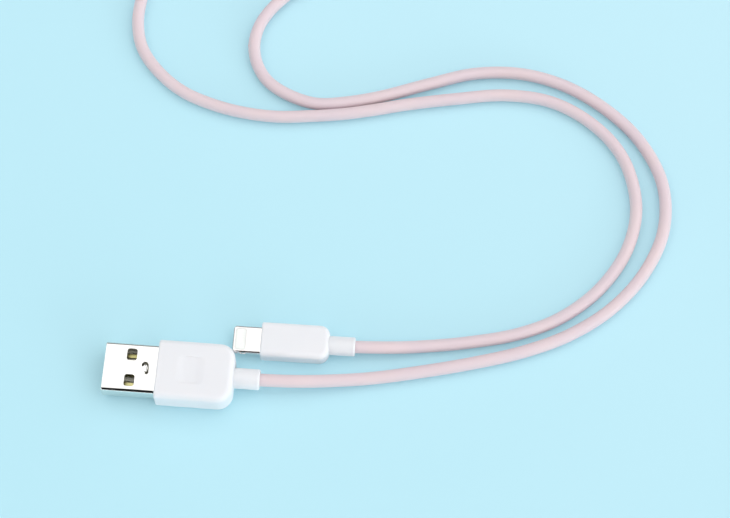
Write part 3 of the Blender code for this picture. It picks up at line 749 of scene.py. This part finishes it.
def make_usb_shell(place, steel, inside):
    """The stamped shell, folded from one sheet that meets in a seam underneath."""
    length, width, height = node_size("usb_shell")
    shape = bmesh.new()
    side_y = width / 2 - SHELL_CORNER
    side_z = height / 2 - SHELL_CORNER
    section = [(SHELL_SEAM / 2, -height / 2)]
    for sign_y, sign_z, start in ((1, -1, -90), (1, 1, 0), (-1, 1, 90), (-1, -1, 180)):
        corner = arc(sign_y * side_y, sign_z * side_z, SHELL_CORNER, start, start + 90, CORNER_STEPS)
        section += [(y, z) for y, z, _, _ in corner]
    section.append((-SHELL_SEAM / 2, -height / 2))
    chamfer_length, chamfer_depth = SHELL_CHAMFER
    shrink_y = 1 - 2 * chamfer_depth / width
    shrink_z = 1 - 2 * chamfer_depth / height
    tip = add_ring(shape, [Vector((0.0, y * shrink_y, z * shrink_z)) for y, z in section])
    front = add_ring(shape, [Vector((chamfer_length, y, z)) for y, z in section])
    rear = add_ring(shape, [Vector((length, y, z)) for y, z in section])
    windows = []
    for sign_z in (1, -1):
        for sign_y in (1, -1):
            centre = (WINDOW_X, sign_y * WINDOW_Y)
            outline = rounded_rectangle(WINDOW_LENGTH, WINDOW_WIDTH, WINDOW_CORNER, centre=centre)
            windows.append(add_ring(shape, level_ring(outline, sign_z * height / 2)))
    dimple = []
    for step in range(SLOPE_STEPS + 1):
        share = step / SLOPE_STEPS
        shrink = 2 * DIMPLE_SLOPE * share
        narrow = DIMPLE_LENGTH - shrink
        outline = rounded_rectangle(narrow, DIMPLE_WIDTH - shrink, ALMOST_HALF * narrow, 8, (DIMPLE_X, 0.0))
        dimple.append(add_ring(shape, level_ring(outline, height / 2 - DIMPLE_DEPTH * smoothstep(share))))
    skin(shape, dimple)
    shape.faces.new(dimple[-1])
    slit = add_ring(shape, level_ring(slit_outline(), height / 2))
    top_holes = [windows[0], windows[1], dimple[0], slit]
    corner_points = CORNER_STEPS + 1
    panels = {0: [windows[2]], 2 * corner_points: top_holes, 4 * corner_points: [windows[3]]}
    for i in range(len(section) - 1):
        shape.faces.new((tip[i], front[i], front[i + 1], tip[i + 1]))
        borders = [front[i], rear[i], rear[i + 1], front[i + 1]]
        if i in panels:
            cut_panel(shape, borders, panels[i])
        else:
            shape.faces.new(borders)
    shell = finish_piece("usb_shell_sheet", shape, place, steel, ["usb_shell"])
    # The inner face and the cut rims take the dark olive steel, painted shade inside the shell.
    shell.data.materials.append(inside)
    shell.data.set_sharp_from_angle(angle=radians(30))
    flat_panels(shell)
    sheet = shell.modifiers.new("sheet", "SOLIDIFY")
    sheet.thickness = SHELL_WALL
    sheet.offset = -1.0
    sheet.use_even_offset = True
    sheet.material_offset = 1
    sheet.material_offset_rim = 1
    soften_edges(shell, SHELL_RIM)


def make_usb_tongue(place, insulator):
    """The insulator: a grooved tongue, and the thick block behind it."""
    length, width, height = node_size("usb_tongue")
    low_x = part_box("usb_tongue")[0].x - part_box("usb_shell")[0].x
    half = width / 2
    bottom = -height / 2
    section = [(-half, bottom), (half, bottom), (half, 0.0)]
    room = USB_CONTACT_WIDTH / 2 + GROOVE_ROOM
    for y in reversed(USB_CONTACT_Y):
        section += [(y + room, 0.0), (y + room, -GROOVE_DEPTH), (y - room, -GROOVE_DEPTH), (y - room, 0.0)]
    section.append((-half, 0.0))
    shape = bmesh.new()
    rings = [add_ring(shape, [Vector((x, y, z)) for y, z in section]) for x in (low_x, low_x + length)]
    skin(shape, rings)
    shape.faces.new(rings[0])
    shape.faces.new(rings[1])
    block_top = height / 2 - TONGUE_BLOCK_ROOM
    box_mesh(shape, (TONGUE_BLOCK_FRONT, -half, TONGUE_BLOCK_BOTTOM), (low_x + length, half, block_top))
    tongue = finish_piece(
        "usb_tongue_moulding", shape, place, insulator, ["usb_tongue"], smooth=False
    )
    soften_edges(tongue, 0.06 * MM)


def make_usb_contacts(place, gold):
    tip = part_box("usb_shell")[0].x
    half = USB_CONTACT_WIDTH / 2
    bottom, top = USB_CONTACT_LEVELS
    for number, y in enumerate(USB_CONTACT_Y, start=1):
        node = "usb_contact_%d" % number
        low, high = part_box(node)
        shape = bmesh.new()
        box_mesh(shape, (low.x - tip, y - half, bottom), (high.x - tip, y + half, top))
        strip = finish_piece(node + "_strip", shape, place, gold, [node])
        soften_edges(strip, 0.1 * MM, 3)
        even_shading(strip)


def make_usb_plug(materials):
    shell_size = node_size("usb_shell")
    place = plug_place("usb_shell", 0.0, shell_size.x / 2)
    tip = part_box("usb_shell")[0].x
    boot_low, boot_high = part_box("usb_boot")
    boot_size = boot_high - boot_low
    mouth = (
        shell_size.y + 2 * USB_MOUTH_ROOM,
        shell_size.z + 2 * USB_MOUTH_ROOM,
        SHELL_CORNER + USB_MOUTH_ROOM,
    )
    label = (*LABEL_SIZE, boot_low.x - tip + LABEL_PLACE * boot_size.x)
    make_usb_shell(place, materials["steel"], materials["shaded_inner_steel"])
    make_usb_tongue(place, materials["insulator"])
    make_usb_contacts(place, materials["gold"])
    make_boot(
        "usb_boot_moulding",
        place,
        boot_low.x - tip,
        boot_size,
        USB_ROUNDING,
        mouth,
        label,
        materials["boot"],
        "usb_boot",
    )
    rear = boot_high.x - tip
    collar_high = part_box("usb_strain_relief")[1]
    length = collar_high.x - boot_high.x
    make_collar("usb_collar", place, rear, length, USB_COLLAR_RADIUS, materials["boot"], "usb_strain_relief")


# ---------------------------------------------------------------- phone plug

TAB_SHOWN = 6.65 * MM
TAB_LENGTH = 10.0 * MM
TAB_REAR_CORNER = 0.7 * MM
TAB_CORNER = 0.95 * MM
TAB_TIP_RIM = 0.4 * MM
TAB_SIDE_RIM = 0.65 * MM
TAB_RIM_CHANGE = 1.3 * MM
# Where the rings of a rounded side lie on its quarter circle.
TAB_RIM_ANGLES = [radians(angle) for angle in (0, 31.4, 33.6, 45, 56, 67, 78, 90)]
TAB_WINDOW_X = 0.6 * MM
TAB_WINDOW_LENGTH = 2.5 * MM
TAB_WINDOW_WIDTH = 5.3 * MM
TAB_WINDOW_CORNER = 0.6 * MM
NOTCH_X = 2.5 * MM
NOTCH_RADIUS = 0.8 * MM
NOTCH_DEPTH = 0.65 * MM
NOTCH_HALF_HEIGHT = 0.5 * MM
# Extra points along each side, so that the notches come out round.
SIDE_POINTS = 24
SIDE_POINT_STEP = 0.125 * MM
SIDE_POINT_START = 0.3 * MM
LAST_SIDE_POINT = 6.0 * MM
CONTACTS_PER_FACE = 8
PHONE_CONTACT_PITCH = 0.6 * MM
PHONE_CONTACT_WIDTH = 0.4 * MM
PHONE_CONTACT_LENGTH = 1.9 * MM
PHONE_CONTACT_CORNER = 0.15 * MM
PHONE_CONTACT_SUNK = 0.1 * MM
PHONE_CONTACT_PROUD = 0.008 * MM
CARRIER_SUNK = 0.02 * MM
CARRIER_ROOM = 0.01 * MM
# As the CAD part has them, because this plug is turned and its nodes' boxes are longer and wider.
PHONE_BOOT_LENGTH = 16.05 * MM
PHONE_BOOT_WIDTH = 8.35 * MM
PHONE_COLLAR_LENGTH = 6.0 * MM
PHONE_MOUTH_ROOM = 0.05 * MM
PHONE_MOUTH_CORNER = 0.7 * MM


def make_tab_frame(place, steel):
    """The tab: rounded sides, a through window for the contacts and a notch in each side."""
    _, width, height = node_size("phone_tab_frame")
    side_places = [TAB_CORNER + SIDE_POINT_START + SIDE_POINT_STEP * i for i in range(SIDE_POINTS)]
    side_places.append(LAST_SIDE_POINT)
    outline = plug_outline(TAB_LENGTH, width, TAB_CORNER, TAB_REAR_CORNER, side_places)

    def rim_at(x):
        return TAB_TIP_RIM + (TAB_SIDE_RIM - TAB_TIP_RIM) * smoothstep(x / TAB_RIM_CHANGE)

    notch_centre = width / 2 + NOTCH_RADIUS - NOTCH_DEPTH
    shape = bmesh.new()
    rings = []
    for ring in rim_rings(outline, height, rim_at, TAB_RIM_ANGLES):
        for spot in ring:
            along = abs(spot.x - NOTCH_X)
            if abs(spot.z) < NOTCH_HALF_HEIGHT and along < NOTCH_RADIUS and abs(spot.y) > width / 4:
                limit = notch_centre - sqrt(NOTCH_RADIUS**2 - along**2)
                spot.y = min(abs(spot.y), limit) * (1 if spot.y > 0 else -1)
        rings.append(add_ring(shape, ring))
    skin(shape, rings)
    middle = TAB_WINDOW_X + TAB_WINDOW_LENGTH / 2
    window = rounded_rectangle(TAB_WINDOW_LENGTH, TAB_WINDOW_WIDTH, TAB_WINDOW_CORNER, centre=(middle, 0.0))
    rims = [add_ring(shape, level_ring(window, sign * height / 2)) for sign in (-1, 1)]
    skin(shape, rims)
    for ring, rim in zip((rings[0], rings[-1]), rims):
        fill(shape, ring_edges(shape, ring), ring_edges(shape, rim))
    frame_piece = finish_piece("phone_tab_steel", shape, place, steel, ["phone_tab_frame"])
    frame_piece.data.set_sharp_from_angle(angle=radians(50))
    flat_panels(frame_piece)
    even_shading(frame_piece)


def make_contact_carrier(place, carrier, silver):
    height = node_size("phone_tab_frame").z
    middle = TAB_WINDOW_X + TAB_WINDOW_LENGTH / 2
    face = height / 2 - CARRIER_SUNK
    outline = rounded_rectangle(
        TAB_WINDOW_LENGTH - CARRIER_ROOM,
        TAB_WINDOW_WIDTH - CARRIER_ROOM,
        TAB_WINDOW_CORNER,
        centre=(middle, 0.0),
    )
    shape = bmesh.new()
    rings = [add_ring(shape, level_ring(outline, level)) for level in (-face, face)]
    skin(shape, rings)
    shape.faces.new(rings[0])
    shape.faces.new(rings[1])
    moulding = finish_piece(
        "phone_contact_moulding", shape, place, carrier, ["phone_contact_carrier"], smooth=False
    )
    soften_edges(moulding, 0.04 * MM)
    for face_name, sign in (("top", 1), ("bottom", -1)):
        levels = sorted((sign * (face - PHONE_CONTACT_SUNK), sign * (face + PHONE_CONTACT_PROUD)))
        for number in range(CONTACTS_PER_FACE):
            y = (number - (CONTACTS_PER_FACE - 1) / 2) * PHONE_CONTACT_PITCH
            node = "phone_contact_%s_%d" % (face_name, number + 1)
            pad_size = (PHONE_CONTACT_LENGTH, PHONE_CONTACT_WIDTH, PHONE_CONTACT_CORNER)
            outline = rounded_rectangle(*pad_size, 3, (middle, y))
            shape = bmesh.new()
            rings = [add_ring(shape, level_ring(outline, level)) for level in levels]
            skin(shape, rings)
            shape.faces.new(rings[0])
            shape.faces.new(rings[1])
            finish_piece(node + "_pad", shape, place, silver, [node], smooth=False)


def make_phone_plug(materials):
    boot_low, boot_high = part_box("phone_boot")
    height = boot_high.z - boot_low.z
    size = (PHONE_BOOT_LENGTH, PHONE_BOOT_WIDTH, height)
    place = plug_place("phone_boot", PHONE_PLUG_TURN, TAB_SHOWN + PHONE_BOOT_LENGTH / 2)
    make_tab_frame(place, materials["tab"])
    make_contact_carrier(place, materials["carrier"], materials["silver"])
    tab_size = node_size("phone_tab_frame")
    mouth = (tab_size.y + 2 * PHONE_MOUTH_ROOM, tab_size.z + 2 * PHONE_MOUTH_ROOM, PHONE_MOUTH_CORNER)
    make_boot(
        "phone_boot_moulding",
        place,
        TAB_SHOWN,
        size,
        PHONE_ROUNDING,
        mouth,
        None,
        materials["boot"],
        "phone_boot",
    )
    rear = TAB_SHOWN + PHONE_BOOT_LENGTH
    radius = node_size("phone_strain_relief").z / 2
    length = PHONE_COLLAR_LENGTH
    make_collar("phone_collar", place, rear, length, radius, materials["boot"], "phone_strain_relief")


# ---------------------------------------------------------------- strap

STRAP_WIDTH = 8.0 * MM
STRAP_TAPE = 0.42 * MM
STRAP_LAP = 0.46 * MM
STRAP_CORNER = 1.5 * MM
STRAP_CORNER_STEPS = 6
# How far the strap keeps from the turns: below, above, inside and outside.
STRAP_ROOM = (0.05 * MM, 0.06 * MM, 0.45 * MM, 0.25 * MM)
# Along the coil's radius from the strap's middle: where the tape starts, where its end
# begins to rise over itself, where it lies on top, and where it ends.
STRAP_START = -1.0 * MM
STRAP_RISE = 1.5 * MM
STRAP_ON_TOP = -0.5 * MM
STRAP_END = -3.2 * MM


def make_strap(material):
    """A woven band once round the coil's turns, with its end lapped over the top."""
    room_below, room_above, room_inside, room_outside = STRAP_ROOM
    low = CORD_LOW + STRAP_THICKNESS - CORD_RADIUS - room_below
    high = CORD_LOW + LAYER_STEP + STRAP_THICKNESS + CORD_RADIUS + room_above
    inner = COIL_INNER_TURN - CORD_RADIUS - room_inside
    outer = COIL_OUTER_TURN + CORD_RADIUS + room_outside
    middle = (inner + outer) / 2
    centre = (middle, (low + high) / 2)
    loop = rounded_rectangle(outer - inner, high - low, STRAP_CORNER, STRAP_CORNER_STEPS, centre)
    corner_end = STRAP_CORNER_STEPS + 1
    path = [(middle + STRAP_START, high)] + loop[corner_end:] + loop[:corner_end]
    path.append((middle + STRAP_RISE, high))
    path += [(middle + along, high + STRAP_LAP) for along in (STRAP_ON_TOP, STRAP_END)]
    place = Matrix.Translation(COIL_CENTRE) @ Matrix.Rotation(STRAP_ANGLE, 4, "Z")
    shape = bmesh.new()
    sides = []
    for side in (-STRAP_WIDTH / 2, STRAP_WIDTH / 2):
        sides.append([shape.verts.new((r, side, z)) for r, z in path])
    for i in range(len(path) - 1):
        shape.faces.new((sides[0][i], sides[0][i + 1], sides[1][i + 1], sides[1][i]))
    strap = finish_piece("coil_tie", shape, place, material, ["coil_strap"])
    tape = strap.modifiers.new("tape", "SOLIDIFY")
    tape.thickness = STRAP_TAPE
    tape.offset = 1.0
    soften_edges(strap, 0.1 * MM)
    even_shading(strap)
    return strap


def paint_inner_nodes(materials):
    """The pieces inside the boots keep their CAD solids."""
    paints = {
        "usb_inner_cover": "insulator",
        "usb_cable_crimp": "steel",
        "phone_cable_crimp": "steel",
        "phone_circuit_board": "board",
        "phone_main_chip": "chip",
        "phone_power_chip": "chip",
        "phone_capacitor": "chip",
        "phone_diode": "chip",
        "phone_shield_top": "steel",
        "phone_shield_bottom": "steel",
    }
    for plug in ("usb", "phone"):
        for colour in ("red", "white", "green", "black"):
            paints["%s_wire_%s" % (plug, colour)] = "wire_" + colour
    for node, paint in paints.items():
        NODES[node].data.materials.clear()
        NODES[node].data.materials.append(materials[paint])


# ---------------------------------------------------------------- floor and lights

# The darker and the lighter blue. Between them the floor grows lighter towards the far right as painted
# light, and varies in a soft random cloud.
FLOOR_TONES = ((0.361, 0.599, 0.675), (0.413, 0.625, 0.697))
# The floor's own glow: painted light that makes the shadows on it paler.
FLOOR_GLOW = 0.3
FLOOR_HALF_SIZE = 3.0
# In metres of X plus Y: where the painted light, which makes the floor lighter towards the far right, begins
# and ends. The rest is a soft random cloud of tone.
PAINTED_LIGHT_SPAN = (-0.15, 0.27)
PAINTED_LIGHT_SHARE = 0.7


def floor_colour(material, shader):
    """Pale blue, glowing a little as painted light that makes the shadows on it paler, and growing lighter
    from the near left to the far right as painted light.
    """
    tree = material.node_tree
    place = tree.nodes.new("ShaderNodeTexCoord")
    parts = tree.nodes.new("ShaderNodeSeparateXYZ")
    tree.links.new(place.outputs["Object"], parts.inputs["Vector"])
    along = arithmetic(tree, "ADD", parts.outputs["X"], parts.outputs["Y"])
    # Painted light: the floor grows lighter along X plus Y, towards the far right.
    painted_light = arithmetic(tree, "MULTIPLY", stepped(tree, along, *PAINTED_LIGHT_SPAN), PAINTED_LIGHT_SHARE)
    cloud = arithmetic(tree, "MULTIPLY", noise(material, 8.0), 1.0 - PAINTED_LIGHT_SHARE)
    ramp = tree.nodes.new("ShaderNodeValToRGB")
    for stop, tone in zip(ramp.color_ramp.elements, FLOOR_TONES):
        stop.color = (*tone, 1.0)
    tree.links.new(arithmetic(tree, "ADD", painted_light, cloud), ramp.inputs["Fac"])
    # The floor glows in its own colour, painted light that lifts its shadows.
    for socket in ("Base Color", "Emission Color"):
        tree.links.new(ramp.outputs["Color"], shader.inputs[socket])
    shader.inputs["Emission Strength"].default_value = FLOOR_GLOW


def make_floor():
    mesh = bpy.data.meshes.new("floor")
    shape = bmesh.new()
    bmesh.ops.create_grid(shape, x_segments=1, y_segments=1, size=FLOOR_HALF_SIZE)
    shape.to_mesh(mesh)
    shape.free()
    floor = bpy.data.objects.new("floor", mesh)
    bpy.context.scene.collection.objects.link(floor)
    material, shader = new_material("blue_card", 0.9)
    shader.inputs["Specular IOR Level"].default_value = 0.1
    floor_colour(material, shader)
    grain(material, shader, 3000.0, 0.01 * MM)
    mesh.materials.append(material)


DOME_LIGHT = 1.43
NEAR_GLOW = 4.4
FAR_SHADE = 0.5
EDGE_SHADE = 0.25
DARK_GAP = 0.01
# The tent's regions, in degrees. Each fades in between its two spreads from the side that it faces,
# and between the two heights of its lower and of its upper border.
NEAR_GLOW_REGION = ((72, 50), (-4, 2), (22, 16))
FAR_SHADE_REGION = ((80, 60), (-8, -4), (24, 17))
EDGE_SHADE_REGION = ((36, 28), (3, 6), (44, 38))
DARK_GAP_REGION = ((34, 27), (0, 3), (85, 81))
KEY_DIRECTION = Vector((0.3, 0.42, 0.86))
KEY_DISTANCE = 0.8
KEY_SIZE = 0.65
KEY_POWER = 0.35


def stepped(tree, value, low, high):
    """0 below low, 1 above high, and smooth between."""
    step = tree.nodes.new("ShaderNodeMapRange")
    step.interpolation_type = "SMOOTHSTEP"
    step.inputs["From Min"].default_value = low
    step.inputs["From Max"].default_value = high
    tree.links.new(value, step.inputs["Value"])
    return step.outputs["Result"]


def arithmetic(tree, operation, first, second):
    node = tree.nodes.new("ShaderNodeMath")
    node.operation = operation
    for socket, value in zip(node.inputs, (first, second)):
        if isinstance(value, float):
            socket.default_value = value
        else:
            tree.links.new(value, socket)
    return node.outputs["Value"]


def make_world():
    """A bright tent, dimmer low on the far and left sides.

    It glows low on the near side, but for a tall dark gap there that the polished edges mirror."""
    world = bpy.data.worlds.new("studio")
    bpy.context.scene.world = world
    world.use_nodes = True
    tree = world.node_tree
    place = tree.nodes.new("ShaderNodeTexCoord")
    parts = tree.nodes.new("ShaderNodeSeparateXYZ")
    tree.links.new(place.outputs["Generated"], parts.inputs["Vector"])
    across = arithmetic(tree, "MULTIPLY", parts.outputs["X"], parts.outputs["X"])
    away = arithmetic(tree, "MULTIPLY", parts.outputs["Y"], parts.outputs["Y"])
    level = arithmetic(tree, "POWER", arithmetic(tree, "ADD", across, away), 0.5)
    nearness = arithmetic(tree, "DIVIDE", arithmetic(tree, "MULTIPLY", parts.outputs["Y"], -1.0), level)
    height = parts.outputs["Z"]
    farness = arithmetic(tree, "MULTIPLY", nearness, -1.0)
    leftness = arithmetic(tree, "DIVIDE", arithmetic(tree, "MULTIPLY", parts.outputs["X"], -1.0), level)
    far_or_left = arithmetic(tree, "MAXIMUM", farness, leftness)
    light = DOME_LIGHT
    for facing, (spread, lowest, highest), share in (
        (nearness, NEAR_GLOW_REGION, NEAR_GLOW),
        (far_or_left, FAR_SHADE_REGION, FAR_SHADE),
        (far_or_left, EDGE_SHADE_REGION, EDGE_SHADE),
        (nearness, DARK_GAP_REGION, DARK_GAP),
    ):
        region = stepped(tree, facing, cos(radians(spread[0])), cos(radians(spread[1])))
        for edges in (lowest, highest):
            inside = stepped(tree, height, sin(radians(edges[0])), sin(radians(edges[1])))
            region = arithmetic(tree, "MULTIPLY", region, inside)
        scale = arithmetic(tree, "ADD", arithmetic(tree, "MULTIPLY", region, share - 1.0), 1.0)
        light = arithmetic(tree, "MULTIPLY", light, scale)
    tree.links.new(light, tree.nodes["Background"].inputs["Strength"])
    tree.nodes["Background"].inputs["Color"].default_value = (1.0, 1.0, 1.0, 1.0)


def make_key_light():
    data = bpy.data.lights.new("softbox", "AREA")
    data.shape = "DISK"
    data.size = KEY_SIZE
    data.energy = KEY_POWER
    light = bpy.data.objects.new("softbox", data)
    bpy.context.scene.collection.objects.link(light)
    direction = KEY_DIRECTION.normalized()
    light.location = VIEW_TARGET + direction * KEY_DISTANCE
    light.rotation_mode = "QUATERNION"
    light.rotation_quaternion = direction.to_track_quat("Z", "Y")


make_camera()
MATERIALS = make_materials()
make_usb_plug(MATERIALS)
make_phone_plug(MATERIALS)
make_cord(make_strap(MATERIALS["strap"]))
paint_inner_nodes(MATERIALS)
make_floor()
make_world()
make_key_light()
bpy.context.scene.view_settings.view_transform = "Standard"
bpy.context.view_layer.update()
